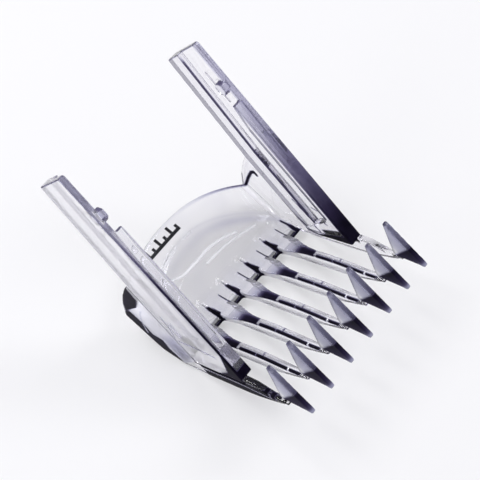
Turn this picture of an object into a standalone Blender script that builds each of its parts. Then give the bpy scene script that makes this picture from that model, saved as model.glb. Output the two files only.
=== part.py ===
"""Clipper guard comb: a slide-on comb attachment moulded in clear plastic.

Comb frame (before the comb is laid down): X across the teeth, Y along the
two arms towards the handle, Z from the hood side up to the tooth side. The
origin of that frame is the tip of the middle tooth. An empty then tilts the
whole comb into the pose in which it lies on a table, belly down.
Lengths are in metres.
"""
import math

import bmesh
import bpy
from mathutils import Vector

MM = 0.001

# ---------------------------------------------------------------- dimensions
TEETH = 7                      # number of teeth
PITCH = 7.0 * MM               # tooth to tooth
END_INSET = 0.35 * MM          # the two end teeth sit this much further in
GAP = 0.3 * MM                 # clearance between neighbouring pieces

HALF_WIDTH = 21.7 * MM         # centre plane to the arms' outer faces
WALL = 1.5 * MM                # arm and cheek wall

ARM_TOP = -13.5 * MM           # upper edge of an arm, in Z
ARM_BOTTOM = -25.0 * MM        # lower edge of an arm where it leaves the cheek
ARM_END_BOTTOM = -23.3 * MM    # lower edge at the free end, which is narrower
ARM_END = 65.1 * MM            # free end of an arm, in Y
FLEX_Y = 38.5 * MM             # where the arm leaves the cheek and can flex
FOOT_Y = 9.2 * MM              # front end of the arm's foot
STOP_Y = 17.6 * MM             # rear face of the block that closes the channel

LOWER_RAIL_H = 4.4 * MM        # lower guide rail: height and inward depth
LOWER_RAIL_D = 1.0 * MM
UPPER_RAIL_H = 2.3 * MM        # upper guide rail: height and inward depth
UPPER_RAIL_D = 1.5 * MM
UPPER_RAIL_END = 50.1 * MM     # upper rail stops short of the arm's end
LEAD_IN = 6.3 * MM             # length of the upper rail's lead-in taper

DETENT_Y = 54.2 * MM           # middle of the click bump on each arm
DETENT_LEN = 3.4 * MM
DETENT_H = 2.6 * MM
DETENT_D = 1.1 * MM

BLADE_T = 1.15 * MM            # tooth blade thickness
END_BLADE_T = 1.15 * MM
FINGER_W = 1.75 * MM           # finger width along its length
FINGER_ROOT_W = 4.15 * MM      # finger width where the slots end
FLARE_FROM = 13.2 * MM         # Y at which a finger starts to widen
FLARE_TO = 16.6 * MM
END_FINGER_W = 1.4 * MM

SHELL_T = 1.4 * MM             # hood shell thickness
RIM_T = 1.2 * MM               # rim band thickness
RIM_LIFT = 0.35 * MM           # step between the bowl and the rim band
HOOD_HALF = 19.85 * MM         # half width of the hood between the cheeks
HOOD_START = 16.4 * MM         # Y of the slots' closed ends on the outside
RIM_MID = 38.0 * MM            # Y of the rim on the centre plane
LEDGE_MID = 33.0 * MM          # Y of the ledge on the centre plane

# The belly has a narrow flat across its whole width, and the comb lies on it.
BELLY_FRONT = (17.0, -30.9)    # front edge of that flat (Y, Z)
BELLY_REAR = (20.7, -33.78)    # rear edge of that flat
REST_TILT = math.atan2(BELLY_FRONT[1] - BELLY_REAR[1],
                       BELLY_REAR[0] - BELLY_FRONT[0])

# Side outline of the comb's outside, from tooth heel to hood (Y, Z).
OUTER = [(3.0, -4.6), (3.5, -6.6), (4.3, -8.9), (5.95, -13.1), (7.8, -16.6),
         (10.0, -20.4), (12.7, -24.9), (16.15, -29.95)]
# A finger's root runs a little way up the hood's inside as a fading rib.
ROOT_RIB = [(17.2, -28.95), (17.7, -29.15), (20.2, -31.1), (21.75, -32.1)]
# Inside of a finger, from the hood back up to the heel.
INNER = [(18.2, -27.95), (15.9, -24.5), (13.8, -21.0), (11.9, -17.5),
         (9.9, -14.2), (7.5, -10.7), (6.1, -8.7), (4.95, -6.75)]
# Tooth blade: heel, rounded tip, long leading edge, rounded peak.
BLADE = [(5.25, -5.75), (4.55, -5.65), (0.75, -0.95), (0.25, -0.55),
         (0.0, -0.1), (0.15, 0.2), (0.6, 0.25), (11.9, -1.35),
         (12.75, -1.6), (12.9, -2.0), (12.5, -2.35)]
# Centre-plane profile of the hood's outside (Y, Z).
HOOD = [(16.4, -30.25), BELLY_FRONT, BELLY_REAR, (22.6, -34.45),
        (26.0, -35.75), (31.5, -37.95), (38.2, -40.7)]
CROWN = 0.19                   # how fast the hood's sides rise behind the belly
# Cheek outline between the hood and the arm (Y, Z).
CHEEK = [(16.4, -30.25), BELLY_FRONT, BELLY_REAR, (22.6, -34.35),
         (26.0, -35.2), (31.3, -36.45), (32.6, -35.3), (34.4, -33.4),
         (36.4, -30.3), (37.8, -27.2), (38.2, -25.3), (16.85, -25.3),
         (18.6, -28.1)]


def mm(points):
    return [(a * MM, b * MM) for a, b in points]


# ------------------------------------------------------------------- helpers
def clear_scene():
    for obj in list(bpy.data.objects):
        bpy.data.objects.remove(obj, do_unlink=True)


def collection(name):
    coll = bpy.data.collections.get(name) or bpy.data.collections.new(name)
    if coll.name not in bpy.context.scene.collection.children:
        bpy.context.scene.collection.children.link(coll)
    return coll


def material(name, colour, roughness, alpha=1.0, transmission=0.0):
    mat = bpy.data.materials.new(name)
    mat.use_nodes = True
    bsdf = mat.node_tree.nodes["Principled BSDF"]
    bsdf.inputs["Base Color"].default_value = (*colour, 1.0)
    bsdf.inputs["Roughness"].default_value = roughness
    bsdf.inputs["Metallic"].default_value = 0.0
    bsdf.inputs["IOR"].default_value = 1.58
    bsdf.inputs["Alpha"].default_value = alpha
    bsdf.inputs["Transmission Weight"].default_value = transmission
    mat.diffuse_color = (*colour, alpha)
    return mat


def side_plate(name, outline, mid, width, mat):
    """A flat outline in the Y-Z plane with a width along X."""
    curve = bpy.data.curves.new(name + "_outline", 'CURVE')
    curve.dimensions = '2D'
    curve.fill_mode = 'BOTH'
    curve.extrude = width / 2
    spline = curve.splines.new('POLY')
    spline.points.add(len(outline) - 1)
    for point, (y, z) in zip(spline.points, outline):
        point.co = (y, z, 0.0, 1.0)
    spline.use_cyclic_u = True
    guide = bpy.data.objects.new(name + "_guide", curve)
    PARTS.objects.link(guide)
    guide.rotation_euler = (math.pi / 2, 0.0, math.pi / 2)
    guide.location = (mid, 0.0, 0.0)
    bpy.context.view_layer.update()
    graph = bpy.context.evaluated_depsgraph_get()
    mesh = bpy.data.meshes.new_from_object(guide.evaluated_get(graph))
    mesh.name = name
    place = guide.matrix_world.copy()
    bpy.data.objects.remove(guide, do_unlink=True)
    bpy.data.curves.remove(curve)
    weld(mesh)
    obj = bpy.data.objects.new(name, mesh)
    PARTS.objects.link(obj)
    obj.matrix_world = place
    finish(obj, mat)
    return obj


def weld(mesh):
    bm = bmesh.new()
    bm.from_mesh(mesh)
    bmesh.ops.remove_doubles(bm, verts=bm.verts, dist=1e-6)
    bmesh.ops.recalc_face_normals(bm, faces=bm.faces)
    bm.to_mesh(mesh)
    bm.free()


def finish(obj, mat):
    obj.data.materials.clear()
    obj.data.materials.append(mat)
    obj.parent = DATUM


def round_edges(obj, width, segments=2, angle=30):
    mod = obj.modifiers.new("edges", 'BEVEL')
    mod.width = width
    mod.segments = segments
    mod.limit_method = 'ANGLE'
    mod.angle_limit = math.radians(angle)
    mod.harden_normals = False


def along(profile, y):
    """Height of a polyline profile at y."""
    for (y0, z0), (y1, z1) in zip(profile, profile[1:]):
        if y <= y1 or (y1, z1) == profile[-1]:
            return z0 + (z1 - z0) * (y - y0) / (y1 - y0)


def hood_height(x, y, profile):
    rise = CROWN * max(0.0, y - 22.6 * MM) * (abs(x) / (3 * PITCH)) ** 2
    return along(profile, y) + rise


def rim_y(x):
    return RIM_MID - 0.069 * PITCH * (abs(x) / PITCH) ** 2.46


def ledge_y(x):
    return LEDGE_MID - 0.158 * PITCH * (abs(x) / PITCH) ** 2.19


def hood_panel(name, rows, cols, thickness, lift, mat, half):
    """A curved panel of the hood, thickened inwards from its outside.

    rows holds one function of x for each row of the panel, giving its Y.
    """
    profile = mm(HOOD)
    mesh = bpy.data.meshes.new(name)
    bm = bmesh.new()
    last = len(rows) - 1
    bmesh.ops.create_grid(bm, x_segments=cols, y_segments=last, size=0.5)
    for vert in bm.verts:
        x = vert.co.x * 2 * half
        y = rows[round((vert.co.y + 0.5) * last)](x)
        vert.co = (x, y, hood_height(x, y, profile) + lift)
    bmesh.ops.recalc_face_normals(bm, faces=bm.faces)
    low = max(bm.faces, key=lambda f: f.calc_area())
    if low.normal.z > 0:
        bmesh.ops.reverse_faces(bm, faces=bm.faces)
    bm.to_mesh(mesh)
    bm.free()
    obj = bpy.data.objects.new(name, mesh)
    PARTS.objects.link(obj)
    finish(obj, mat)
    thick = obj.modifiers.new("thickness", 'SOLIDIFY')
    thick.thickness = thickness
    thick.offset = -1.0
    thick.use_even_offset = True
    return obj


# --------------------------------------------------------------------- build
clear_scene()
PARTS = collection("clipper_guard_comb")
DATUM = bpy.data.objects.new("comb_datum", None)
PARTS.objects.link(DATUM)

CLEAR = material("clear_plastic", (0.70, 0.67, 0.80), 0.06, 0.35, 1.0)
INK = material("black_ink", (0.012, 0.011, 0.016), 0.45)

# Teeth and fingers, numbered from the right-hand arm to the left-hand one.
for k in range(1, TEETH + 1):
    x = (TEETH + 1 - 2 * k) / 2 * PITCH
    end = k in (1, TEETH)
    if end:
        x -= math.copysign(END_INSET, x)
    blade = side_plate(f"tooth_blade_{k}", mm(BLADE), x,
                       END_BLADE_T if end else BLADE_T, CLEAR)
    round_edges(blade, 0.18 * MM, 1, 40)
    width = END_FINGER_W if end else FINGER_W
    mid = math.copysign(HALF_WIDTH - END_FINGER_W / 2, x) if end else x
    rib = [] if end else ROOT_RIB
    finger = side_plate(f"finger_{k}", mm(OUTER + rib + INNER), mid, width,
                        CLEAR)
    if not end:
        # the local Z of the plate runs across the comb
        for vert in finger.data.vertices:
            t = (vert.co.x - FLARE_FROM) / (FLARE_TO - FLARE_FROM)
            t = min(1.0, max(0.0, t))
            vert.co.z *= 1.0 + (FINGER_ROOT_W / FINGER_W - 1.0) * t * t

# Hood: bowl and rim band. The bowl's first rows follow the belly flat.
def between(low, high, t):
    return lambda x: low(x) * (1.0 - t) + high(x) * t


def belly_rear(x):
    return BELLY_REAR[0] * MM


def bowl_end(x):
    return ledge_y(x) - GAP / 2


def band_start(x):
    return ledge_y(x) + GAP / 2


bowl_rows = [lambda x: HOOD_START, lambda x: BELLY_FRONT[0] * MM]
bowl_rows += [between(belly_rear, bowl_end, i / 6) for i in range(7)]
hood_panel("hood_bowl", bowl_rows, 18, SHELL_T, 0.0, CLEAR, HOOD_HALF)
band_rows = [between(band_start, rim_y, i / 3) for i in range(4)]
hood_panel("hood_rim_band", band_rows, 18, RIM_T, RIM_LIFT, CLEAR, HOOD_HALF)

# Generic printed scale on the inside of the rim band: a base line and ticks.
TICKS = 6
TICK_STEP = 1.9 * MM
LINE = 0.45 * MM
mark = []
base = 35.0 * MM
top = 37.0 * MM
left = -8.6 * MM
for i in range(TICKS):
    x0 = left + i * TICK_STEP
    reach = top if i % 2 == 0 else base + 0.62 * (top - base)
    mark += [(x0, base + LINE), (x0, reach), (x0 + LINE, reach),
             (x0 + LINE, base + LINE)]
mark += [(left + (TICKS - 1) * TICK_STEP + LINE, base), (left, base)]
curve = bpy.data.curves.new("scale_outline", 'CURVE')
curve.dimensions = '2D'
curve.fill_mode = 'BOTH'
curve.extrude = 0.05 * MM
spline = curve.splines.new('POLY')
spline.points.add(len(mark) - 1)
for point, (x, y) in zip(spline.points, mark):
    point.co = (x, y, 0.0, 1.0)
spline.use_cyclic_u = True
guide = bpy.data.objects.new("scale_guide", curve)
PARTS.objects.link(guide)
bpy.context.view_layer.update()
mesh = bpy.data.meshes.new_from_object(
    guide.evaluated_get(bpy.context.evaluated_depsgraph_get()))
mesh.name = "printed_scale"
bpy.data.objects.remove(guide, do_unlink=True)
bpy.data.curves.remove(curve)
weld(mesh)
profile = mm(HOOD)
for vert in mesh.vertices:
    vert.co.z += (hood_height(vert.co.x, vert.co.y, profile) + RIM_LIFT
                  + RIM_T + GAP + 0.18 * MM)
scale = bpy.data.objects.new("printed_scale", mesh)
PARTS.objects.link(scale)
finish(scale, INK)

# Arms, cheeks and rails, one set for each side.
for side, sign in (("right", 1), ("left", -1)):
    wall_mid = sign * (HALF_WIDTH - WALL / 2)
    inner = HALF_WIDTH - WALL - GAP

    def inward(depth):
        """Centre of a rail of this depth that stands inside the wall."""
        return sign * (inner - depth / 2)

    # fixed part of the arm, from its foot to where it leaves the cheek
    root = [(FOOT_Y + 0.6 * MM, ARM_TOP), (FLEX_Y, ARM_TOP),
            (FLEX_Y, ARM_BOTTOM), (16.55 * MM, ARM_BOTTOM),
            (14.15 * MM, -20.95 * MM), (12.25 * MM, -17.45 * MM),
            (10.35 * MM, -14.3 * MM)]
    side_plate(f"{side}_arm_root", root, wall_mid, WALL, CLEAR)
    # free, springy part, a little narrower at its end
    start = FLEX_Y + GAP
    tail = [(start, ARM_TOP), (ARM_END - 0.2 * MM, ARM_TOP),
            (ARM_END, ARM_TOP - 0.6 * MM), (ARM_END, ARM_END_BOTTOM),
            (start, ARM_BOTTOM)]
    side_plate(f"{side}_arm_spring", tail, wall_mid, WALL, CLEAR)
    # cheek between the arm and the hood
    side_plate(f"{side}_cheek", mm(CHEEK), wall_mid, WALL, CLEAR)

    # guide rails, fixed and springy lengths
    side_plate(f"{side}_lower_rail_root",
               [(16.75 * MM, ARM_BOTTOM), (FLEX_Y, ARM_BOTTOM),
                (FLEX_Y, ARM_BOTTOM + LOWER_RAIL_H),
                (STOP_Y + GAP, ARM_BOTTOM + LOWER_RAIL_H),
                (STOP_Y + GAP, ARM_BOTTOM + 2.2 * MM)],
               inward(LOWER_RAIL_D), LOWER_RAIL_D, CLEAR)
    side_plate(f"{side}_lower_rail",
               [(start, ARM_BOTTOM), (ARM_END, ARM_END_BOTTOM),
                (ARM_END, ARM_END_BOTTOM + LOWER_RAIL_H),
                (start, ARM_BOTTOM + LOWER_RAIL_H)],
               inward(LOWER_RAIL_D), LOWER_RAIL_D, CLEAR)
    up_z = (ARM_TOP - UPPER_RAIL_H, ARM_TOP)
    side_plate(f"{side}_upper_rail_root",
               [(STOP_Y + GAP, up_z[0]), (FLEX_Y, up_z[0]),
                (FLEX_Y, up_z[1]), (STOP_Y + GAP, up_z[1])],
               inward(UPPER_RAIL_D), UPPER_RAIL_D, CLEAR)
    side_plate(f"{side}_upper_rail",
               [(start, up_z[0]), (UPPER_RAIL_END - LEAD_IN, up_z[0]),
                (UPPER_RAIL_END, up_z[1] - 1.1 * MM),
                (UPPER_RAIL_END, up_z[1]), (start, up_z[1])],
               inward(UPPER_RAIL_D), UPPER_RAIL_D, CLEAR)
    # block that closes the channel at the foot
    side_plate(f"{side}_channel_stop",
               [(FOOT_Y + 0.9 * MM, ARM_TOP), (STOP_Y, ARM_TOP),
                (STOP_Y, ARM_BOTTOM + 2.6 * MM), (15.2 * MM, -22.4 * MM),
                (12.45 * MM, -17.4 * MM), (10.6 * MM, -14.4 * MM)],
               inward(UPPER_RAIL_D), UPPER_RAIL_D, CLEAR)
    # click bump near the end of the arm
    half = DETENT_LEN / 2
    flat = 0.9 * MM
    bump = side_plate(f"{side}_click_bump",
                      [(DETENT_Y - half, ARM_TOP - DETENT_H / 2),
                       (DETENT_Y - flat, ARM_TOP - DETENT_H),
                       (DETENT_Y + flat, ARM_TOP - DETENT_H),
                       (DETENT_Y + half, ARM_TOP - DETENT_H / 2),
                       (DETENT_Y + flat, ARM_TOP),
                       (DETENT_Y - flat, ARM_TOP)],
                      inward(DETENT_D), DETENT_D, CLEAR)

# -------------------------------------------------------- lay the comb down
DATUM.rotation_euler = (REST_TILT, 0.0, 0.0)
bpy.context.view_layer.update()
graph = bpy.context.evaluated_depsgraph_get()
low = Vector((1e9, 1e9, 1e9))
high = -low
for obj in PARTS.objects:
    if obj.type != 'MESH':
        continue
    seen = obj.evaluated_get(graph)
    for vert in seen.data.vertices:
        p = obj.matrix_world @ vert.co
        low = Vector(map(min, low, p))
        high = Vector(map(max, high, p))
DATUM.location = (-(low.x + high.x) / 2, -(low.y + high.y) / 2, -low.z)
bpy.context.view_layer.update()
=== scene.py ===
"""Looks for the clipper guard comb: clear violet-tinted plastic on a pale floor."""
import math

import bpy
import numpy as np
from mathutils import Matrix, Vector


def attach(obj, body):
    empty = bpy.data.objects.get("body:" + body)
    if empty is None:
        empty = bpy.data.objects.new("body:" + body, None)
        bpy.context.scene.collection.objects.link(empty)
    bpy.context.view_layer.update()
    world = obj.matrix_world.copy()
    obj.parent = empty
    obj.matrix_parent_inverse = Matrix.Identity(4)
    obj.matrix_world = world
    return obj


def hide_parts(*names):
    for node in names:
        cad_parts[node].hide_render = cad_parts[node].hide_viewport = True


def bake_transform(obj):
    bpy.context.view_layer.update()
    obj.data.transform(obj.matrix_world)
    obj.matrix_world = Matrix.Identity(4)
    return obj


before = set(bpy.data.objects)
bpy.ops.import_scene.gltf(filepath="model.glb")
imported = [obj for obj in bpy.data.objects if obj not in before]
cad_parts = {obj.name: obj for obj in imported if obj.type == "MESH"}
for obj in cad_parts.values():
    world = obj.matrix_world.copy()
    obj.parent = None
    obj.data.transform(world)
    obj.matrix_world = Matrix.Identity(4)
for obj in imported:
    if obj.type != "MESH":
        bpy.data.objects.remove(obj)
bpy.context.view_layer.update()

MM = 0.001
PITCH = 7.0
# The comb frame: X across the teeth, Y along the arms to the handle, N to the
# tooth side, in mm, from the middle tooth's tip. The comb lies belly down.
TILT = math.atan2(33.78 - 30.9, 20.7 - 17.0)
PLACE = Matrix.Translation((0.0, -0.0328501835, 0.0139418738)) @ Matrix.Rotation(TILT, 4, 'X')

# ------------------------------------------------------------------ dimensions
HALF_WIDTH, WALL = 21.7, 1.5
ARM_TOP, ARM_BOTTOM, ARM_END_BOTTOM, ARM_END = -13.5, -25.0, -23.3, 65.1
STOP_Y, UPPER_RAIL_H, UPPER_RAIL_D, UPPER_RAIL_END, LEAD_IN = 17.6, 2.3, 1.8, 50.1, 6.3
LOWER_RAIL_H, LOWER_RAIL_D = 4.4, 1.3
DETENT_Y, DETENT_LEN, DETENT_H, DETENT_D = 54.2, 3.4, 2.6, 1.25
RIM_MID, LEDGE_MID, HOOD_START = 38.0, 33.0, 16.4
CROWN = 0.19
OUTER = [(3.0, -4.6), (3.5, -6.6), (4.3, -8.9), (5.95, -13.1), (7.8, -16.6),
         (10.0, -20.4), (12.7, -24.9), (16.15, -29.95)]
ROOT_RIB = [(17.2, -28.95), (17.7, -29.15), (20.2, -31.1), (21.75, -32.1)]
INNER = [(18.2, -27.95), (15.9, -24.5), (13.8, -21.0), (11.9, -17.5),
         (9.9, -14.2), (7.5, -10.7), (6.1, -8.7), (4.95, -6.75)]
BLADE = [(5.25, -5.75), (4.55, -5.65), (0.75, -0.95), (0.25, -0.55),
         (0.0, -0.1), (0.15, 0.2), (0.6, 0.25), (11.9, -1.35),
         (12.75, -1.6), (12.9, -2.0), (12.5, -2.35)]
HOOD = [(14.0, -27.6), (16.4, -30.25), (17.0, -30.9), (20.7, -33.78), (22.6, -34.45),
        (26.0, -35.75), (31.5, -37.95), (38.2, -40.7), (42.0, -42.2)]
SEAM = 0.03            # hairline between the shell and each arm


# ------------------------------------------------------- distance-field kit
def spline(points, step=0.5):
    """Catmull-Rom through an open run of points."""
    p = np.array(points, float)
    p = np.vstack([2 * p[0] - p[1], p, 2 * p[-1] - p[-2]])
    out = []
    for a, b, c, d in zip(p, p[1:], p[2:], p[3:]):
        n = max(1, int(np.linalg.norm(c - b) / step))
        for i in range(n):
            t = i / n
            out.append(0.5 * (2 * b + (c - a) * t + (2 * a - 5 * b + 4 * c - d) * t * t
                              + (3 * b - a - 3 * c + d) * t ** 3))
    out.append(p[-2])
    return [tuple(q) for q in out]


def inset(poly, r):
    """The polygon moved inwards by r."""
    p = np.array(poly, float)
    q = np.roll(p, -1, 0)
    area = np.sum(p[:, 0] * q[:, 1] - q[:, 0] * p[:, 1])
    e = q - p
    e /= np.linalg.norm(e, axis=1)[:, None]
    n_out = np.stack([e[:, 1], -e[:, 0]], 1) * (1 if area > 0 else -1)
    n_in = np.roll(n_out, 1, 0)
    k = np.maximum(1 + (n_in * n_out).sum(1), 0.35)
    return p - r * (n_in + n_out) / k[:, None]


def poly_sdf(poly, u, v):
    """Signed distance to a closed polygon in the plane; negative inside."""
    p = np.asarray(poly, float)
    q = np.roll(p, -1, 0)
    shape = np.broadcast(u, v).shape
    best = np.full(shape, 1e9)
    inside = np.zeros(shape, bool)
    for (ax, ay), (bx, by) in zip(p, q):
        ex, ey = bx - ax, by - ay
        wx, wy = u - ax, v - ay
        t = np.clip((wx * ex + wy * ey) / (ex * ex + ey * ey + 1e-12), 0, 1)
        dx, dy = wx - ex * t, wy - ey * t
        best = np.minimum(best, dx * dx + dy * dy)
        cross = ex * wy - ey * wx
        up = (ay <= v) & (by > v) & (cross > 0)
        down = (ay > v) & (by <= v) & (cross < 0)
        inside ^= (up | down)
    d = np.sqrt(best)
    return np.where(inside, -d, d)


def smin(a, b, k):
    if k <= 0:
        return np.minimum(a, b)
    h = np.maximum(k - np.abs(a - b), 0.0) / k
    return np.minimum(a, b) - h * h * k * 0.25


def smax(a, b, k):
    return -smin(-a, -b, k)


def ramp(t):
    t = np.clip(t, 0.0, 1.0)
    return t * t * (3 - 2 * t)


class Plate:
    """A side outline in Y-N with a width along X and rounded edges."""

    def __init__(self, outline, x0, x1, r=0.22, width=None):
        self.mid, self.half, self.r = (x0 + x1) / 2, abs(x1 - x0) / 2, r
        self.poly = inset(outline, r)
        self.width = width
        p = np.array(outline)
        m = self.half if width is None else 3.0
        self.low = (self.mid - m, p[:, 0].min(), p[:, 1].min())
        self.high = (self.mid + m, p[:, 0].max(), p[:, 1].max())

    def __call__(self, x, y, n):
        d2 = poly_sdf(self.poly, y, n)
        half = self.half if self.width is None else self.width(y, n)
        dx = np.abs(x - self.mid) - half + self.r
        return (np.minimum(np.maximum(d2, dx), 0)
                + np.sqrt(np.maximum(d2, 0) ** 2 + np.maximum(dx, 0) ** 2) - self.r)


class Field:
    """A block of samples that solids are merged into."""
    FAR = 1.6

    def __init__(self, low, high, h):
        self.low, self.h = np.array(low, float), h
        self.size = [int(math.ceil((b - a) / h)) + 1 for a, b in zip(low, high)]
        self.f = np.full(self.size, self.FAR, np.float32)
        self.axes = [self.low[i] + h * np.arange(self.size[i]) for i in range(3)]

    def block(self, low, high, pad=1.3):
        s = []
        for i in range(3):
            a = max(0, int((low[i] - pad - self.low[i]) / self.h))
            b = min(self.size[i], int((high[i] + pad - self.low[i]) / self.h) + 2)
            s.append(slice(a, b))
        x = self.axes[0][s[0]][:, None, None]
        y = self.axes[1][s[1]][None, :, None]
        n = self.axes[2][s[2]][None, None, :]
        return tuple(s), x, y, n

    def add(self, solid, k=0.3):
        s, x, y, n = self.block(solid.low, solid.high)
        self.f[s] = smin(self.f[s], np.minimum(solid(x, y, n), self.FAR), k)

    def cut(self, low, high, fn, k=0.0):
        """Takes away where fn is negative."""
        s, x, y, n = self.block(low, high, 0.6)
        self.f[s] = smax(self.f[s], -fn(x, y, n), k)

    def sample(self, g, p):
        q = np.clip((p - self.low) / self.h, 0, np.array(self.size) - 1.001)
        i = q.astype(int)
        t = q - i
        out = 0
        for a in (0, 1):
            for b in (0, 1):
                for c in (0, 1):
                    w = ((t[:, 0] if a else 1 - t[:, 0]) * (t[:, 1] if b else 1 - t[:, 1])
                         * (t[:, 2] if c else 1 - t[:, 2]))
                    v = g[i[:, 0] + a, i[:, 1] + b, i[:, 2] + c]
                    out = out + (w[:, None] * v if v.ndim == 2 else w * v)
        return out

    def mesh(self, name, paint=None):
        """Surface nets, then each point is moved onto the surface."""
        f = self.f
        s = f < 0
        nx, ny, nz = self.size
        count = np.zeros((nx - 1, ny - 1, nz - 1), np.float32)
        total = np.zeros((nx - 1, ny - 1, nz - 1, 3), np.float32)
        crossings = []
        for axis in range(3):
            a = [slice(None)] * 3
            b = [slice(None)] * 3
            a[axis], b[axis] = slice(0, -1), slice(1, None)
            hit = np.argwhere(s[tuple(a)] != s[tuple(b)])
            step = np.zeros(3, int)
            step[axis] = 1
            f0 = f[tuple(hit.T)]
            f1 = f[tuple((hit + step).T)]
            t = f0 / (f0 - f1)
            at = hit + step * t[:, None]
            u, v = [i for i in range(3) if i != axis]
            ok = np.ones(len(hit), bool)
            for i in (u, v):
                ok &= (hit[:, i] > 0) & (hit[:, i] < self.size[i] - 1)
            hit, at, f0 = hit[ok], at[ok], f0[ok]
            for du in (0, 1):
                for dv in (0, 1):
                    c = hit.copy()
                    c[:, u] -= du
                    c[:, v] -= dv
                    flat = np.ravel_multi_index(c.T, count.shape)
                    np.add.at(count.reshape(-1), flat, 1)
                    for j in range(3):
                        np.add.at(total.reshape(-1, 3)[:, j], flat, at[:, j])
            crossings.append((axis, u, v, hit, f0 < 0))
        used = np.argwhere(count > 0)
        index = np.full(count.shape, -1, np.int64)
        index[tuple(used.T)] = np.arange(len(used))
        p = total[tuple(used.T)] / count[tuple(used.T)][:, None] * self.h + self.low
        quads = []
        for axis, u, v, hit, into in crossings:
            ring = []
            for du, dv in ((0, 0), (1, 0), (1, 1), (0, 1)):
                c = hit.copy()
                c[:, u] -= du
                c[:, v] -= dv
                ring.append(index[tuple(c.T)])
            q = np.stack(ring, 1)
            flip = into if axis != 1 else ~into
            q[~flip] = q[~flip][:, ::-1]
            quads.append(q)
        quads = np.concatenate(quads)
        g = np.stack(np.gradient(f, self.h), -1)
        for i in range(4):
            d = self.sample(f, p)
            n = self.sample(g, p)
            n /= np.maximum(np.linalg.norm(n, axis=1), 0.3)[:, None]
            move = -d[:, None] * n
            lim = 0.35 * self.h
            size = np.linalg.norm(move, axis=1)
            move *= np.minimum(1, lim / np.maximum(size, 1e-9))[:, None]
            p = p + move
        me = bpy.data.meshes.new(name)
        me.vertices.add(len(p))
        me.vertices.foreach_set("co", (p * MM).astype(np.float32).ravel())
        me.loops.add(len(quads) * 4)
        me.loops.foreach_set("vertex_index", quads.astype(np.int32).ravel())
        me.polygons.add(len(quads))
        me.polygons.foreach_set("loop_start", np.arange(0, len(quads) * 4, 4, dtype=np.int32))
        me.polygons.foreach_set("use_smooth", np.ones(len(quads), bool))
        me.update(calc_edges=True)
        if paint is not None:
            n = self.sample(g, p)
            n /= np.maximum(np.linalg.norm(n, axis=1), 1e-6)[:, None]
            for word, values in paint(p[:, 0], p[:, 1], p[:, 2], n).items():
                at = me.attributes.new(word, 'FLOAT', 'POINT')
                at.data.foreach_set("value", np.clip(values, 0, 1).astype(np.float32))
        me.validate()
        me.transform(PLACE)
        return me


# --------------------------------------------------------------- comb solids
def rim_y(x):
    return RIM_MID - 0.069 * PITCH * (np.abs(x) / PITCH) ** 2.46


def ledge_y(x):
    return LEDGE_MID - 0.158 * PITCH * (np.abs(x) / PITCH) ** 2.19


hood_s = np.linspace(14.0, 42.0, 561)
hood_t = np.interp(hood_s, [a for a, b in HOOD], [b for a, b in HOOD])
taper = np.exp(-0.5 * (np.arange(-40, 41) * 0.05 / 0.55) ** 2)
hood_t = np.convolve(np.pad(hood_t, 40, mode='reflect', reflect_type='odd'), taper / taper.sum(), 'valid')


class Hood:
    low, high = (-20.9, HOOD_START, -41.4), (20.9, 38.4, -26.0)

    def outside(self, x, y):
        lift = 0.35 * ramp((y - ledge_y(x)) / 0.45 + 0.5)
        rise = CROWN * np.maximum(0.0, y - 22.6) * (np.abs(x) / 21.0) ** 2
        return np.interp(y, hood_s, hood_t) + rise + lift

    def inside(self, x, y):
        a = np.abs(x) / PITCH
        step1 = 28.3 - 0.95 * a ** 2.1
        step2 = 25.2 - 0.75 * a ** 2.0
        thick = (1.32 + 0.16 * ramp((step1 - y) / 0.7 + 0.5) + 0.16 * ramp((step2 - y) / 0.7 + 0.5)
                 - 0.14 * ramp((y - ledge_y(x)) / 0.45 + 0.5))
        slope = np.gradient(hood_t, hood_s)
        stretch = np.sqrt(1 + np.interp(y, hood_s, slope) ** 2)
        return self.outside(x, y) + thick * stretch

    def __call__(self, x, y, n):
        slope = np.interp(y, hood_s, np.gradient(hood_t, hood_s))
        lean = 1 / np.sqrt(1 + slope ** 2)
        out, ins = self.outside(x, y), self.inside(x, y)
        d = np.maximum(out - n, n - ins) * lean
        turn = 0.069 * 2.46 * (np.abs(x) / PITCH) ** 1.46
        rim = (y - rim_y(x)) / np.sqrt(1 + turn ** 2)
        d = smax(d, rim, 0.7)
        # closed ends of the slots
        d = smax(d, (HOOD_START + 0.1 - y) * 0.9, 0.5)
        return smax(d, np.abs(x) - 20.6, 0.2)


def arm_outline(grow=0.0):
    """The arm's side outline; grow pushes only the joined edge outwards."""
    g = grow
    joint = [(38.2, ARM_BOTTOM - g), (16.22 - g * 0.4, ARM_BOTTOM - g), (15.9 - g, -24.5 - g * 0.4),
             (13.8 - g, -21.0), (11.9 - g, -17.5), (9.9 - g, -14.2), (9.42 - g, ARM_TOP)]
    return [(ARM_END - 0.3, ARM_TOP), (ARM_END, ARM_TOP - 0.6), (ARM_END, ARM_END_BOTTOM),
            (38.2 + 0.01, ARM_BOTTOM)] + joint


def flare(y, n):
    t = np.clip((y - 13.2) / (16.6 - 13.2), 0, 1)
    thin = 0.05 * ramp((7.0 - y) / 3.0)
    return 1.75 / 2 * (1 + (4.15 / 1.75 - 1) * t * t) - thin


def wedge(y, n):
    """Half thickness of a tooth blade: thin at the leading edge, with draft."""
    lead = 0.2 - 0.142 * y
    return 0.54 + 0.06 * np.clip((lead - n) / 4.2, 0, 1.1)


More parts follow.
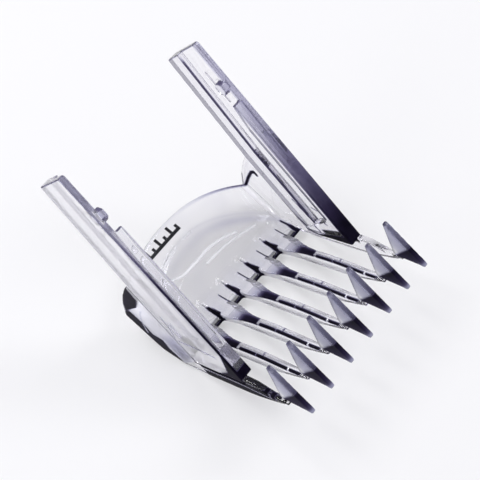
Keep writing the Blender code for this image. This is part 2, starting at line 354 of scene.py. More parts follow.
def build_shell(h):
    f = Field((-22.3, -0.9, -41.9), (22.3, 39.0, 1.0), h)
    outer = spline(OUTER, 0.7)
    inner = spline(INNER, 0.7)
    for k in range(1, 8):
        x = (4 - k) * PITCH
        end = k in (1, 7)
        if end:
            side = math.copysign(1, x)
            outline = outer + [(18.2, -29.6), (20.2, -28.2)] + [(y + 1.4, n) for y, n in inner[:-6]] + inner[-3:]
            f.add(Plate(outline, side * (HALF_WIDTH - 1.5), side * HALF_WIDTH, 0.22), 0.3)
        else:
            rib = [(16.9, -29.2), (17.9, -29.3), (20.2, -31.1), (22.2, -32.45), (21.0, -33.3), (18.2, -31.3)]
            f.add(Plate(outer + rib + [(21.9, -31.75)] + [(18.9, -28.95)] + inner, x - 1, x + 1, 0.2, flare), 0.45)
    f.add(Hood(), 0.5)
    arm = np.array(arm_outline())
    for side in (1, -1):
        cheek = [(16.4, -30.25), (17.0, -30.9), (20.7, -33.78), (22.6, -34.4),
                 (26.0, -35.25), (31.3, -36.45), (32.6, -35.3), (34.4, -33.4),
                 (36.4, -30.3), (37.8, -27.2), (38.2, -25.3), (38.2, -23.5),
                 (17.5, -23.5), (16.0, -26.5)]
        f.add(Plate(cheek, side * (HALF_WIDTH - WALL), side * HALF_WIDTH, 0.3), 0.55)
    for k in range(1, 8):
        x = (4 - k) * PITCH
        if k in (1, 7):
            x -= math.copysign(0.35, x)
        f.add(Plate(BLADE, x - 0.55, x + 0.55, 0.2, wedge), 0.3)
    for side in (1, -1):
        low, high = (side * 20.9 - 1.2, 8.0, -26.5), (side * 20.9 + 1.2, 40.5, -12.0)
        f.cut(low, high, lambda x, y, n: np.maximum(
            poly_sdf(arm, y, n) - SEAM, 19.95 - side * x))
    return f.mesh("comb_shell", paint_shell)


def build_arm(side, h):
    lo, hi = sorted((side * 17.6, side * 22.3))
    f = Field((lo, 7.6, -26.4), (hi, 66.0, -12.6), h)

    def plate(outline, depth, base=WALL, r=0.2, k=0.12):
        """A block that stands in from the outer face by base + depth."""
        f.add(Plate(outline, side * (HALF_WIDTH - base - depth), side * (HALF_WIDTH - 0.35), r), k)

    f.add(Plate(arm_outline(1.0), side * (HALF_WIDTH - WALL), side * HALF_WIDTH, 0.24), 0)
    slope = (ARM_END_BOTTOM - ARM_BOTTOM) / (ARM_END - 38.2)
    plate([(16.4, ARM_BOTTOM), (38.2, ARM_BOTTOM), (ARM_END, ARM_END_BOTTOM),
           (ARM_END, ARM_END_BOTTOM + LOWER_RAIL_H), (38.2, ARM_BOTTOM + LOWER_RAIL_H),
           (16.4, ARM_BOTTOM + LOWER_RAIL_H)], LOWER_RAIL_D)
    top = ARM_TOP
    plate([(14.0, top - UPPER_RAIL_H), (UPPER_RAIL_END - LEAD_IN, top - UPPER_RAIL_H),
           (UPPER_RAIL_END, top - 1.1), (UPPER_RAIL_END, top), (14.0, top)], UPPER_RAIL_D)
    plate([(10.1, top), (STOP_Y, top), (STOP_Y, ARM_BOTTOM + 1.0), (16.5, ARM_BOTTOM + 0.4),
           (15.2, -22.9), (12.95, -18.6), (11.2, -15.6)], UPPER_RAIL_D, r=0.3)
    half, flat = DETENT_LEN / 2, 0.9
    plate([(DETENT_Y - half, top - DETENT_H / 2), (DETENT_Y - flat, top - DETENT_H),
           (DETENT_Y + flat, top - DETENT_H), (DETENT_Y + half, top - DETENT_H / 2),
           (DETENT_Y + flat, top), (DETENT_Y - flat, top)], DETENT_D, r=0.22)
    # shallow pocket beside the click bump, on the inner face
    pocket = inset([(50.4, top - 3.6), (51.6, top - 0.9), (57.6, top - 0.9), (59.0, top - 3.6)], 0.3)
    bump = inset([(DETENT_Y - 2.0, top - 2.9), (DETENT_Y - 2.0, top + 1), (DETENT_Y + 2.0, top + 1),
                  (DETENT_Y + 2.0, top - 2.9)], 0.0)
    f.cut(*((sorted((side * 19.9, side * 20.6))[0], 50.0, top - 4.2),
            (sorted((side * 19.9, side * 20.6))[1], 59.5, top)),
          lambda x, y, n: np.maximum(np.maximum(poly_sdf(pocket, y, n) - 0.3, -(poly_sdf(bump, y, n))),
                                     side * x - 20.42), 0.15)
    arm = np.array(arm_outline())
    s, x, y, n = f.block((lo, 7.6, -26.4), (hi, 66.0, -12.6))
    limit = np.where(side * x > 20.15, poly_sdf(arm, y, n), -5.0)
    f.f[s] = np.maximum(f.f[s], limit)
    name = ("right" if side > 0 else "left") + "_arm_clear"
    return f.mesh(name, lambda x, y, n, nm: paint_arm(side, x, y, n, nm))


# ------------------------------------------------- violet tint, painted shade and painted highlights
def within(v, a, b, soft):
    """1 between a and b, falling to 0 over soft on each side."""
    return ramp((v - a) / soft + 0.5) * ramp((b - v) / soft + 0.5)


def off_line(points, u, v):
    """Distance to an open run of points in the plane."""
    best = np.full(np.shape(u), 1e9)
    for (ax, ay), (bx, by) in zip(points, points[1:]):
        ex, ey = bx - ax, by - ay
        t = np.clip(((u - ax) * ex + (v - ay) * ey) / (ex * ex + ey * ey), 0, 1)
        best = np.minimum(best, np.hypot(u - ax - ex * t, v - ay - ey * t))
    return best


def stops(v, pairs):
    return np.interp(v, [a for a, b in pairs], [b for a, b in pairs])


def paint_shell(x, y, n, nm):
    """How deep the violet tint and the painted shade are at each point, how hazy, and where highlights are painted."""
    tint_and_shade = np.zeros_like(x)
    haze = np.zeros_like(x)
    gleam = np.zeros_like(x)
    upward = nm[:, 2] > 0.25
    inner = np.array(spline(INNER, 0.7))
    order = np.argsort(inner[:, 1])
    y_in = np.interp(n, inner[order, 1], inner[order, 0])
    depth = (y_in - y) * 0.87
    # hood: a faint violet cast with soft bands, darker along the rim and the ledge and towards the slots, and painted
    # shade along the rim towards +X
    on_hood = (n < -29.0) & (y > 16.2)
    led = y - ledge_y(x)
    rim = rim_y(x) - y
    drift = np.sin(0.45 * x + 1.4 * np.sin(0.33 * y + 0.6)) * np.sin(0.38 * y - 0.21 * x + 0.8)
    cast_and_shade = (0.004 + 0.016 * drift + 0.05 * within(y, 17.5, 21.0, 3.0)
            + np.exp(-((led + 1.9) / 1.2) ** 2) * stops(x, [(-12, 0.02), (2, 0.06), (12, 0.14), (18, 0.10)])
            + 0.08 * np.exp(-(rim / 0.45) ** 2) + 0.05 * np.exp(-(led / 0.5) ** 2))
    cast_and_shade = np.maximum(cast_and_shade, stops(x, [(1, 0), (9, 0.16), (14, 0.42), (19, 0.66)]) * ramp((0.95 - rim) / 0.5))
    tint_and_shade = np.where(on_hood & (np.abs(x) < 19.7), cast_and_shade, tint_and_shade)
    fog = np.maximum(0.5 * ramp((np.abs(x) - 18.6) / 0.4), 0.32 * ramp((22.5 - y) / 4.0))
    haze = np.where(on_hood & upward, fog, haze)
    rib = np.abs(x / PITCH - np.round(x / PITCH)) * PITCH
    # deeper violet over each finger root just behind the slot ends
    root_violet = 0.13 * np.exp(-(rib / 1.1) ** 2) * within(y, 16.0, 19.4, 1.8) * (on_hood & (np.abs(x) < 17.5))
    tint_and_shade = np.maximum(tint_and_shade, root_violet)
    # painted highlights: white streaks along the steps inside the hood
    for power, run in ((0.75, [(-9.4, 31.8), (-5.7, 32.4), (-2.4, 33.0)]), (0.6, [(0.8, 33.0), (2.9, 32.9)]),
                       (0.95, [(-9.5, 29.2), (-6.1, 28.0), (-1.8, 27.9), (1.9, 28.0), (6.6, 27.2), (9.9, 25.8)]),
                       (0.95, [(-0.4, 26.1), (4.8, 25.8), (8.5, 25.3), (14.3, 23.8)]),
                       (0.8, [(16.6, 22.1), (16.9, 22.1)])):
        gleam = np.maximum(gleam, power * np.exp(-(off_line(run, x, y) / 0.21) ** 2) * (on_hood & upward))
    for k in range(1, 8):
        xk = (4 - k) * PITCH
        end = k in (1, 7)
        if end:
            xk -= math.copysign(0.35, xk)
        # tooth blade: painted shade in bands, a dark band below the split and lighter violet above it
        near = (np.abs(x - xk) < 0.85) & (y < 13.6) & (n > -6.2)
        d = poly_sdf(BLADE, y, n)
        lead = 0.2 - 0.142 * y - n
        low = stops(y, [(-0.2, 0.20), (0.5, 0.36), (1.5, 0.74), (3.0, 0.86), (4.6, 0.95)])
        low = low * (1.0 - 0.10 * ramp((lead - 0.4) / 3.4))
        up = stops(lead, [(-0.2, 0.58), (0.45, 0.42), (1.2, 0.31), (2.6, 0.27), (3.5, 0.22), (3.9, 0.07), (4.8, 0.05)])
        up = 0.9 * up * (0.86 + 0.30 * ramp((12.6 - y) / 7.0)) + 0.16 * ramp((y - 12.0) / 0.7)
        split = ramp((5.25 - 0.12 * lead - y) / 0.35 + 0.5)
        blade_shade = split * low + (1 - split) * up
        on = near & (d < 0.25)
        tint_and_shade = np.where(on, blade_shade, tint_and_shade)
        haze = np.where(on, 0.42 + 0.4 * split, haze)
        xr = x - ((4 - k) * PITCH)
        if not end:
            # painted shade on each finger: a near-black strip along the inner face, a dark block towards the root, a
            # dark cross line and faint edges
            f = (np.abs(xr) < 2.3) & (n < -5.9) & (n > -29.0) & (depth > -0.6) & (depth < 3.6) & ~on
            face = ramp((0.42 - depth) / 0.25 + 0.5)
            strip = face * within(xr, -1.3, -0.30, 0.16) * within(n, -19.75, -6.1, 0.2)
            strip *= 1 - 0.95 * within(n, -9.05, -8.75, 0.15)
            strip *= 1 - 0.5 * within(n, -15.9, -15.7, 0.15)
            block = face * stops(n, [(-27.0, 0.10), (-25.0, 0.34), (-24.0, 0.72), (-23.2, 0.97), (-20.4, 0.98),
                                     (-20.2, 0.0)]) * (1 - 0.42 * ramp((xr + 0.15) / 1.3))
            cross = 0.8 * face * within(n, -14.5, -14.25, 0.12) * ramp((xr + 0.4) / 0.2)
            edge = 0.15 * face * within(xr, 0.45, 1.2, 0.3) * within(n, -19.6, -14.0, 2.0)
            pale = 0.04 * face
            back = 0.04 * ramp((depth - 2.25) / 0.3)
            root = 0.10 * face * within(n, -29.8, -25.0, 2.0)
            v = np.maximum.reduce([strip * 0.99, block * 0.98, cross, edge, pale, back, root])
            tint_and_shade = np.where(f, v, tint_and_shade)
            veiled = np.maximum(0.32 * face * np.maximum(ramp((xr + 0.3) / 0.3), ramp((-20.4 - n) / 1.5)),
                                0.5 * ramp((-0.1 - nm[:, 0]) / 0.4) * ramp((-23.6 - n) / 1.5))
            haze = np.where(f, np.maximum(haze, veiled), haze)
            # painted highlight on the finger backs
            gleam = np.where(f, np.maximum(gleam, 0.5 * ramp((depth - 2.2) / 0.3)), gleam)
        elif k == 7:
            f = (x < -19.9) & (n < -6.3) & (n > -24.5) & (depth > -0.6) & (depth < 3.8) & ~on
            # painted shade: a near-black bar down the left end finger
            bar = 0.99 * within(n, -26.0, -7.3, 0.5) * (1 - 0.97 * within(depth, 0.85, 1.12, 0.12))
            bar *= 1 - 0.9 * within(n, -8.6, -8.3, 0.15) * (depth < 0.8)
            tint_and_shade = np.where(f, bar * (0.55 + 0.45 * (nm[:, 0] < 0.3)), tint_and_shade)
    # painted shade: dark closed ends of the slots and the two fading edges of each groove
    for k in range(1, 7):
        xm = (4 - k) * PITCH - PITCH / 2
        half = 1.43 if 1 < k < 6 else 2.0
        u = np.abs(x - xm)
        bar = ((u < 1.75) & (y > 15.6) & (y < 17.3) & (n < -27.6)) * ramp((17.12 - y) / 0.25 + 0.5)
        bar = bar * ramp((1.62 - u) / 0.2 + 0.5)
        plus = x > xm
        wide = np.where(plus, stops(y, [(16.6, 0.66), (18.0, 0.46), (20.8, 0.20)]), stops(y, [(16.6, 0.17), (20.6, 0.27)]))
        leg = ramp((wide - np.abs(u - np.where(plus, 1.56, 1.58))) / 0.16 + 0.5)
        leg = leg * ((n < -28.0) & (upward | (plus & (nm[:, 0] < -0.2))))
        leg = leg * within(y, 16.4, 20.6, 0.5) * np.where(plus, 0.97, 0.9)
        tint_and_shade = np.maximum(tint_and_shade, np.maximum(0.98 * bar, leg))
    # cheeks: painted shade, a near-black patch and a dark band on the left cheek, a painted glint across the band,
    # light painted shade low on the left cheek, and a dark loop along the right cheek's rear edge
    left = x < -19.9
    patch = poly_sdf([(38.3, -26.0), (34.4, -26.3), (32.7, -29.0), (32.4, -34.6), (36.2, -31.4)], y, n)
    tint_and_shade = np.where(left & (patch < 0.6), np.maximum(tint_and_shade, 0.95 * ramp(0.5 - patch / 0.25)), tint_and_shade)
    band = poly_sdf([(32.4, -37.0), (23.9, -35.4), (17.1, -31.6), (15.6, -30.0), (17.4, -29.9), (20.8, -30.9),
                     (23.3, -30.3), (25.2, -32.2), (28.6, -32.3), (32.3, -33.2)], y, n)
    band = np.where(nm[:, 0] < 0.35, 0.96 * ramp(0.5 - band / 0.3), 0.35 * ramp(0.5 - band / 0.3))
    tint_and_shade = np.where(left, np.maximum(tint_and_shade, band), tint_and_shade)
    # painted glint: a lighter line across the left cheek's dark band
    glint = np.abs(np.hypot(y - 23.0, n + 24.5) - 9.55)
    tint_and_shade = np.where(left & (y > 26) & (y < 31.5) & (glint < 0.2), 0.25, tint_and_shade)
    # light painted shade over the lower left cheek
    cast_and_shade = 0.10 + 0.22 * within(y, 17.0, 24.0, 4.0) * within(n, -30.0, -25.5, 2.0)
    tint_and_shade = np.where(left & (n < -25.0) & (y > 16.5), np.maximum(tint_and_shade, cast_and_shade), tint_and_shade)
    haze = np.where(left & (n < -24.8) & (y > 16.5) & (nm[:, 0] < -0.5), 0.45, haze)
    right = x > 19.9
    # painted shade: a dark loop along the right cheek's rear edge
    loop = off_line([(30.9, -35.6), (32.6, -32.3), (33.7, -29.6), (33.6, -28.6), (32.6, -28.6)], y, n)
    tint_and_shade = np.where(right, np.maximum(tint_and_shade, 0.96 * ramp((0.42 - loop) / 0.2 + 0.5) * (nm[:, 0] < 0.4)), tint_and_shade)
    return {"tint_and_shade": tint_and_shade, "haze": haze, "gleam": gleam}


def paint_arm(side, x, y, n, nm):
    sx = side * x
    # painted shade along the top edge of each arm, darkest at the foot and lighter towards the end; on the left arm it
    # keeps to a thin outer line
    top = ramp((n - (ARM_TOP - 0.75)) / 0.3 + 0.5)
    run = stops(y, [(9, 0.97), (15.5, 0.96), (19, 0.82), (31, 0.64), (40, 0.50), (50, 0.38), (65, 0.30)])
    if side > 0:
        tint_and_shade = top * run
    else:
        line = ramp((sx - 21.15) / 0.2 + 0.5) * (nm[:, 2] > 0.3)
        dark = stops(y, [(9, 0.97), (26, 0.95), (34, 0.86), (41, 0.66), (50, 0.52), (65, 0.45)])
        bare = ramp((y - 50.4) / 0.4) * (1 - 0.85 * within(y, 52.7, 56.0, 0.4))
        tint_and_shade = top * (line * dark + (1 - line) * stops(y, [(12, 0.3), (14, 0.09), (50, 0.07), (65, 0.07)]))
        tint_and_shade = np.maximum(tint_and_shade, top * bare * (0.36 + 0.12 * ramp((20.75 - sx) / 0.3 + 0.5)) * (nm[:, 2] > 0.2))
    # painted shade at the arm's foot where it joins the shell
    joint = np.interp(n, [-25.0, -24.5, -21.0, -17.5, -14.2, -13.5], [16.22, 15.9, 13.8, 11.9, 9.9, 9.42])
    foot = ramp((2.3 + 0.25 * (n + 17) - (y - joint)) / 0.4 + 0.5) * ramp((n + 21.5) / 1.0 + 0.5)
    if side < 0:
        wedge_foot = poly_sdf([(18.6, -12.9), (12.8, -16.4), (10.9, -18.2), (8.6, -14.5), (8.6, -12.9)], y, n)
        foot = np.maximum(foot * ramp((12.9 - y) / 0.5 + 0.5),
                          ramp(0.5 - wedge_foot / 0.3) * (nm[:, 0] < -0.4))
        # painted shade: dark lines seen inside the left arm
        for depth, width, run in ((0.34, 0.26, [(29.1, -22.8), (26.3, -23.2), (22.4, -25.2)]),
                                  (0.40, 0.30, [(22.4, -24.2), (19.9, -19.8), (17.1, -16.0)]),
                                  (0.26, 0.9, [(26.7, -21.7), (23.9, -22.2)])):
            shade_line = depth * np.exp(-(off_line(run, y, n) / width) ** 2) * (nm[:, 0] < -0.4)
            tint_and_shade = np.maximum(tint_and_shade, shade_line)
    else:
        # painted shade: dark lines seen inside the right arm
        for depth, width, run in ((0.90, 0.24, [(25.8, -24.9), (21.2, -24.8), (17.4, -23.9), (14.3, -20.8)]),
                                  (0.80, 0.18, [(25.0, -21.3), (19.9, -20.9), (15.4, -20.2)]),
                                  (0.70, 0.16, [(21.0, -19.7), (18.6, -17.7), (16.8, -16.3)])):
            shade_line = depth * ramp((width - off_line(run, y, n)) / 0.16 + 0.5) * (nm[:, 0] < -0.2)
            tint_and_shade = np.maximum(tint_and_shade, shade_line)
    tint_and_shade = np.maximum(tint_and_shade, 0.97 * foot)
    # painted shade, faint, along the lower outer edge and the rail's underside
    low = np.interp(y, [38.2, ARM_END], [ARM_BOTTOM, ARM_END_BOTTOM])
    tint_and_shade = np.maximum(tint_and_shade, 0.05 * ramp((low + 0.35 - n) / 0.2 + 0.5) * (y > 17))
    # painted shade on the flanks of the click bump, darker on the flanks facing along the arm
    bump = (sx < 20.1) & (np.abs(y - DETENT_Y) < 1.95) & (n > ARM_TOP - 2.8)
    tint_and_shade = np.where(bump & (np.abs(nm[:, 1]) > 0.35), np.maximum(tint_and_shade, 0.64), tint_and_shade)
    tint_and_shade = np.where(bump & (np.abs(nm[:, 1]) <= 0.35), np.maximum(tint_and_shade, 0.15), tint_and_shade)
    # painted shade: thin dark lines along the rails' edges
    ends = within(y, 19.0, 64.0, 3.0)
    rail = ramp((0.17 - np.abs(n - (low + LOWER_RAIL_H - 0.12))) / 0.14 + 0.5) * (sx < 19.3)
    base = ramp((0.16 - np.abs(n - (low + 0.12))) / 0.12 + 0.5) * ((sx < 19.3) & (side * nm[:, 0] < -0.2))
    crest = (n > ARM_TOP - 0.35) & (sx < 20.6)
    lip = crest * np.where(y < UPPER_RAIL_END + 0.3, ramp((18.68 - sx) / 0.14 + 0.5), ramp((20.48 - sx) / 0.14 + 0.5))
    if side > 0:
        line = np.maximum(0.72 * rail, 0.55 * base) * ends
    else:
        line = 0.42 * lip * within(y, 19.0, 70.0, 2.0)
    # painted shade at the arm's end and at the end of the upper rail
    tip = 0.72 * ramp((y - (ARM_END - 0.24)) / 0.12 + 0.5) * ((n > ARM_TOP - 0.4) | (nm[:, 1] < 0.8))
    tint_and_shade = np.maximum(tint_and_shade, np.maximum(line, tip))
    stub = (np.abs(y - UPPER_RAIL_END) < 0.35) & (nm[:, 1] > 0.35) & (n > ARM_TOP - 1.4) & (sx < 20.2)
    tint_and_shade = np.where(stub, np.maximum(tint_and_shade, 0.66), tint_and_shade)
    haze = np.where(side * nm[:, 0] > 0.6, 0.34 if side < 0 else 0.0, 0.0)
    if side < 0:
        haze = np.where(nm[:, 2] > 0.6, 0.12, haze)
    # painted highlight along the left arm's lower edge
    gleam = 0.6 * ramp((low + 0.55 - n) / 0.3 + 0.5) * (y > 26.0) if side < 0 else np.zeros_like(x)
    return {"tint_and_shade": tint_and_shade, "haze": haze, "gleam": gleam}


# ----------------------------------------------------------------- materials
def new_material(name):
    mat = bpy.data.materials.new(name)
    mat.use_nodes = True
    nt = mat.node_tree
    nt.nodes.clear()
    return mat, nt


def node(nt, kind, **values):
    n = nt.nodes.new(kind)
    for k, v in values.items():
        if k in n.inputs:
            n.inputs[k].default_value = v
        else:
            setattr(n, k, v)
    return n


def clear_plastic(name, density=34.0):
    mat, nt = new_material(name)
    out = node(nt, "ShaderNodeOutputMaterial")
    bsdf = node(nt, "ShaderNodeBsdfPrincipled")
    bsdf.inputs["IOR"].default_value = 1.48
    coord = node(nt, "ShaderNodeTexCoord")
    stretch = node(nt, "ShaderNodeMapping", vector_type='POINT')
    stretch.inputs["Rotation"].default_value = (-TILT, 0, 0)
    stretch.inputs["Scale"].default_value = (1.0, 0.35, 1.0)
    nt.links.new(coord.outputs["Object"], stretch.inputs["Vector"])
    # faint flow marks of the moulding, and fine handling scuffs
    flow = node(nt, "ShaderNodeTexNoise", Scale=260.0, Detail=3.0, Roughness=0.5)
    scuff = node(nt, "ShaderNodeTexNoise", Scale=2600.0, Detail=4.0, Roughness=0.65)
    cloud = node(nt, "ShaderNodeTexNoise", Scale=420.0, Detail=2.0, Roughness=0.5)
    for tex in (flow, scuff, cloud):
        nt.links.new(stretch.outputs["Vector"], tex.inputs["Vector"])
    # violet tint and painted shade, broken up a little
    tint_and_shade = node(nt, "ShaderNodeAttribute", attribute_name="tint_and_shade")
    vary = node(nt, "ShaderNodeMath", operation='MULTIPLY_ADD')
    vary.inputs[1].default_value = 0.16
    vary.inputs[2].default_value = -0.08
    nt.links.new(cloud.outputs["Fac"], vary.inputs[0])
    part = node(nt, "ShaderNodeMath", operation='MULTIPLY_ADD')
    nt.links.new(vary.outputs[0], part.inputs[0])
    nt.links.new(tint_and_shade.outputs["Fac"], part.inputs[1])
    nt.links.new(tint_and_shade.outputs["Fac"], part.inputs[2])
    colour = node(nt, "ShaderNodeValToRGB")
    e = colour.color_ramp.elements
    e[0].position, e[0].color = 0.0, (0.985, 0.983, 0.993, 1)
    e[1].position, e[1].color = 1.0, (0.0025, 0.0018, 0.006, 1)
    for at, c in ((0.15, (0.79, 0.79, 0.87)), (0.35, (0.43, 0.43, 0.58)), (0.6, (0.105, 0.094, 0.180)),
                  (0.8, (0.021, 0.016, 0.042))):
        colour.color_ramp.elements.new(at).color = (*c, 1)
    nt.links.new(part.outputs[0], colour.inputs["Fac"])
    nt.links.new(colour.outputs["Color"], bsdf.inputs["Base Color"])
    bsdf.inputs["Transmission Weight"].default_value = 1.0
    haze = node(nt, "ShaderNodeAttribute", attribute_name="haze")
    rough = node(nt, "ShaderNodeMapRange")
    rough.inputs["From Min"].default_value = 0.42
    rough.inputs["From Max"].default_value = 0.72
    rough.inputs["To Min"].default_value = 0.025
    rough.inputs["To Max"].default_value = 0.075
    nt.links.new(scuff.outputs["Fac"], rough.inputs["Value"])
    hazed = node(nt, "ShaderNodeMath", operation='MULTIPLY_ADD')
    hazed.inputs[1].default_value = 0.12
    nt.links.new(haze.outputs["Fac"], hazed.inputs[0])
    nt.links.new(rough.outputs["Result"], hazed.inputs[2])
    nt.links.new(hazed.outputs[0], bsdf.inputs["Roughness"])
    bump = node(nt, "ShaderNodeBump")
    bump.inputs["Strength"].default_value = 0.12
    bump.inputs["Distance"].default_value = 0.00012
    nt.links.new(flow.outputs["Fac"], bump.inputs["Height"])
    nt.links.new(bump.outputs["Normal"], bsdf.inputs["Normal"])
    vol = node(nt, "ShaderNodeVolumeAbsorption")
    vol.inputs["Color"].default_value = (0.30, 0.255, 0.47, 1)
    vol.inputs["Density"].default_value = density
    # painted shade: where the painted shade is deepest the plastic turns opaque and nearly black, with almost no
    # specular; painted highlights and milky haze use the same closure
    opaque_closure = node(nt, "ShaderNodeBsdfPrincipled")
    opaque_closure.inputs["Specular IOR Level"].default_value = 0.02
    opaque_closure.inputs["Roughness"].default_value = 0.3
    opaque_closure.inputs["IOR"].default_value = 1.5
    nt.links.new(bump.outputs["Normal"], opaque_closure.inputs["Normal"])
    # painted highlights: white streaks along the steps inside the hood, on the finger backs and along the left arm's
    # lower edge
    gleam = node(nt, "ShaderNodeAttribute", attribute_name="gleam")
    highlight_tint = node(nt, "ShaderNodeMixRGB", blend_type='MIX')
    nt.links.new(gleam.outputs["Fac"], highlight_tint.inputs["Fac"])
    nt.links.new(colour.outputs["Color"], highlight_tint.inputs["Color1"])
    highlight_tint.inputs["Color2"].default_value = (0.93, 0.93, 0.95, 1)
    nt.links.new(highlight_tint.outputs["Color"], opaque_closure.inputs["Base Color"])
    share = node(nt, "ShaderNodeMapRange", interpolation_type='SMOOTHSTEP')
    share.inputs["From Min"].default_value = 0.38
    share.inputs["From Max"].default_value = 0.85
    share.inputs["To Max"].default_value = 0.985
    nt.links.new(tint_and_shade.outputs["Fac"], share.inputs["Value"])
    milky = node(nt, "ShaderNodeMath", operation='MULTIPLY')
    milky.inputs[1].default_value = 0.8
    nt.links.new(haze.outputs["Fac"], milky.inputs[0])
    pick = node(nt, "ShaderNodeMath", operation='MAXIMUM')
    nt.links.new(share.outputs["Result"], pick.inputs[0])
    nt.links.new(milky.outputs[0], pick.inputs[1])
    opaque_share = node(nt, "ShaderNodeMath", operation='MAXIMUM')
    nt.links.new(pick.outputs[0], opaque_share.inputs[0])
    nt.links.new(gleam.outputs["Fac"], opaque_share.inputs[1])
    mix = node(nt, "ShaderNodeMixShader")
    nt.links.new(opaque_share.outputs[0], mix.inputs[0])
    nt.links.new(bsdf.outputs["BSDF"], mix.inputs[1])
    nt.links.new(opaque_closure.outputs["BSDF"], mix.inputs[2])
    nt.links.new(mix.outputs["Shader"], out.inputs["Surface"])
    nt.links.new(vol.outputs["Volume"], out.inputs["Volume"])
    return mat


def ink(name):
    mat, nt = new_material(name)
    out = node(nt, "ShaderNodeOutputMaterial")
    bsdf = node(nt, "ShaderNodeBsdfPrincipled")
    bsdf.inputs["Specular IOR Level"].default_value = 0.2
    coord = node(nt, "ShaderNodeTexCoord")
    speck = node(nt, "ShaderNodeTexNoise", Scale=5200.0, Detail=3.0)
    nt.links.new(coord.outputs["Object"], speck.inputs["Vector"])
    colour = node(nt, "ShaderNodeValToRGB")
    colour.color_ramp.elements[0].position = 0.35
    colour.color_ramp.elements[0].color = (0.006, 0.006, 0.008, 1)
    colour.color_ramp.elements[1].position = 0.75
    colour.color_ramp.elements[1].color = (0.03, 0.028, 0.036, 1)
    nt.links.new(speck.outputs["Fac"], colour.inputs["Fac"])
    nt.links.new(colour.outputs["Color"], bsdf.inputs["Base Color"])
    rough = node(nt, "ShaderNodeMapRange")
    rough.inputs["To Min"].default_value = 0.35
    rough.inputs["To Max"].default_value = 0.6
    nt.links.new(speck.outputs["Fac"], rough.inputs["Value"])
    nt.links.new(rough.outputs["Result"], bsdf.inputs["Roughness"])
    nt.links.new(bsdf.outputs["BSDF"], out.inputs["Surface"])
    return mat


CLEAR = clear_plastic("clear_violet_plastic")
INK = ink("black_print")


def piece(name, me, mat):
    ob = bpy.data.objects.new(name, me)
    bpy.context.scene.collection.objects.link(ob)
    me.materials.clear()
    me.materials.append(mat)
    return ob


# -------------------------------------------------------------------- pieces
shell = piece("comb_shell", build_shell(0.26), CLEAR)
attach(shell, "root")
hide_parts(*[f"finger_{k}" for k in range(1, 8)], *[f"tooth_blade_{k}" for k in range(1, 8)],
            "hood_bowl", "hood_rim_band", "left_cheek", "right_cheek")

for side, word in ((1, "right"), (-1, "left")):
    arm = piece(word + "_arm_clear", build_arm(side, 0.22), CLEAR)
    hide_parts(*[f"{word}_{n}" for n in (
        "arm_root", "arm_spring", "lower_rail_root", "lower_rail", "upper_rail_root",
        "upper_rail", "channel_stop", "click_bump")])
    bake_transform(arm)

# printed scale, lying on the hood's inside just behind the ledge
hood = Hood()


def printed_scale():
    import bmesh
    bm = bmesh.new()
    step, line, base, top, left = 1.98, 0.72, 34.9, 37.3, -8.5

    def bar(x0, x1, y0, y1):
        nx, ny = max(1, int((x1 - x0) / 0.25)), max(1, int((y1 - y0) / 0.25))
        grid = {}
        for i in range(nx + 1):
            for j in range(ny + 1):
                x, y = x0 + (x1 - x0) * i / nx, y0 + (y1 - y0) * j / ny
                for lv in (0, 1):
                    z = float(hood.inside(np.array(x), np.array(y))) + 0.02 + 0.05 * lv
                    grid[i, j, lv] = bm.verts.new((x * MM, y * MM, z * MM))
        for i in range(nx):
            for j in range(ny):
                for lv in (0, 1):
                    q = [grid[i, j, lv], grid[i + 1, j, lv], grid[i + 1, j + 1, lv], grid[i, j + 1, lv]]
                    bm.faces.new(q if lv else q[::-1])
        for i in range(nx):
            bm.faces.new([grid[i, 0, 0], grid[i + 1, 0, 0], grid[i + 1, 0, 1], grid[i, 0, 1]])
            bm.faces.new([grid[i + 1, ny, 0], grid[i, ny, 0], grid[i, ny, 1], grid[i + 1, ny, 1]])
        for j in range(ny):
            bm.faces.new([grid[0, j + 1, 0], grid[0, j, 0], grid[0, j, 1], grid[0, j + 1, 1]])
            bm.faces.new([grid[nx, j, 0], grid[nx, j + 1, 0], grid[nx, j + 1, 1], grid[nx, j, 1]])

    bar(left, left + 5 * step + line, base, base + line)
    for i in range(6):
        x0 = left + i * step
        reach = top if i % 2 == 0 else base + 0.62 * (top - base)
        bar(x0, x0 + line, base + line + 0.02, reach)
    bmesh.ops.recalc_face_normals(bm, faces=bm.faces)
    me = bpy.data.meshes.new("scale_print")
    bm.to_mesh(me)
    bm.free()
    me.transform(PLACE)
    return me


scale = piece("scale_print", printed_scale(), INK)
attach(scale, "root")
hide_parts("printed_scale")

# --------------------------------------------------------------------- stage
floor_mesh = bpy.data.meshes.new("floor")
R = 1.6
floor_mesh.from_pydata([(-R, -R, -0.0002), (R, -R, -0.0002), (R, R, -0.0002), (-R, R, -0.0002)], [], [(0, 1, 2, 3)])
floor = bpy.data.objects.new("floor", floor_mesh)
bpy.context.scene.collection.objects.link(floor)
fmat, nt = new_material("pale_floor")
out = node(nt, "ShaderNodeOutputMaterial")
diff = node(nt, "ShaderNodeBsdfPrincipled")
diff.inputs["Base Color"].default_value = (0.45, 0.45, 0.455, 1)
diff.inputs["Roughness"].default_value = 0.75
diff.inputs["Specular IOR Level"].default_value = 0.15
diff.inputs["Emission Color"].default_value = (1.0, 1.0, 1.0, 1)
diff.inputs["Emission Strength"].default_value = 0.435
nt.links.new(diff.outputs["BSDF"], out.inputs["Surface"])
floor_mesh.materials.append(fmat)


def area(name, at, aim, size, power, colour=(1, 1, 1)):
    light = bpy.data.lights.new(name, 'AREA')
    light.shape = 'RECTANGLE'
    light.size, light.size_y = size
    light.energy = power
    light.color = colour
    ob = bpy.data.objects.new(name, light)
    bpy.context.scene.collection.objects.link(ob)
    ob.location = at
    ob.rotation_euler = (Vector(aim) - Vector(at)).to_track_quat('-Z', 'Y').to_euler()
    return ob


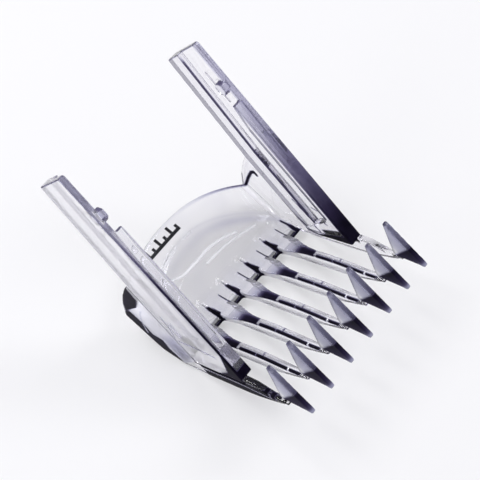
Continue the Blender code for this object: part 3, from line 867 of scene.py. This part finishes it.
area("key_softbox", (-0.10, 0.55, 0.75), (0, 0, 0.0), (0.55, 0.40), 5.5)
area("side_fill", (-0.70, 0.15, 0.30), (0, 0, 0.01), (0.30, 0.30), 0.8)
area("fill_softbox", (0.60, -0.30, 0.60), (0, 0, 0.0), (0.35, 0.35), 2.4)

world = bpy.data.worlds.new("studio")
bpy.context.scene.world = world
world.use_nodes = True
wt = world.node_tree
wt.nodes.clear()
wout = node(wt, "ShaderNodeOutputWorld")
back = node(wt, "ShaderNodeBackground")
wcoord = node(wt, "ShaderNodeTexCoord")
split = node(wt, "ShaderNodeSeparateXYZ")
wramp = node(wt, "ShaderNodeValToRGB")
e = wramp.color_ramp.elements
e[0].position, e[0].color = 0.0, (0.93, 0.93, 0.94, 1)
e[1].position, e[1].color = 0.27, (0.42, 0.415, 0.47, 1)
m = wramp.color_ramp.elements.new(0.12)
m.color = (0.85, 0.85, 0.87, 1)
wt.links.new(wcoord.outputs["Generated"], split.inputs["Vector"])
wt.links.new(split.outputs["Z"], wramp.inputs["Fac"])
wt.links.new(wramp.outputs["Color"], back.inputs["Color"])
back.inputs["Strength"].default_value = 1.0
wt.links.new(back.outputs["Background"], wout.inputs["Surface"])

sc = bpy.context.scene
sc.view_settings.view_transform = 'Standard'
sc.view_settings.look = 'None'
sc.view_settings.exposure = 0.0
sc.cycles.max_bounces = 24
sc.cycles.transmission_bounces = 20
sc.cycles.glossy_bounces = 10
sc.cycles.transparent_max_bounces = 16

# -------------------------------------------------------------------- camera
TURN = Matrix(((0.59119766, -0.63683111, 0.49490551),
               (-0.67591848, -0.72599336, -0.12675902),
               (0.4400222, -0.25957614, -0.85965149)))
SHIFT = Vector((3.79957, 2.76774, 35.81537))
eye = -(TURN.transposed() @ SHIFT) * PITCH * MM
right, down, ahead = TURN[0], TURN[1], TURN[2]
cam_data = bpy.data.cameras.new("camera")
cam_data.lens = 93.649
cam_data.sensor_width = 36.0
cam_data.clip_start = 0.01
cam = bpy.data.objects.new("camera", cam_data)
bpy.context.scene.collection.objects.link(cam)
local = Matrix((right, -down, -ahead)).transposed().to_4x4()
local.translation = eye
cam.matrix_world = PLACE @ local
sc.camera = cam

# ---------------------------------------------------------------------- update
bpy.context.view_layer.update()
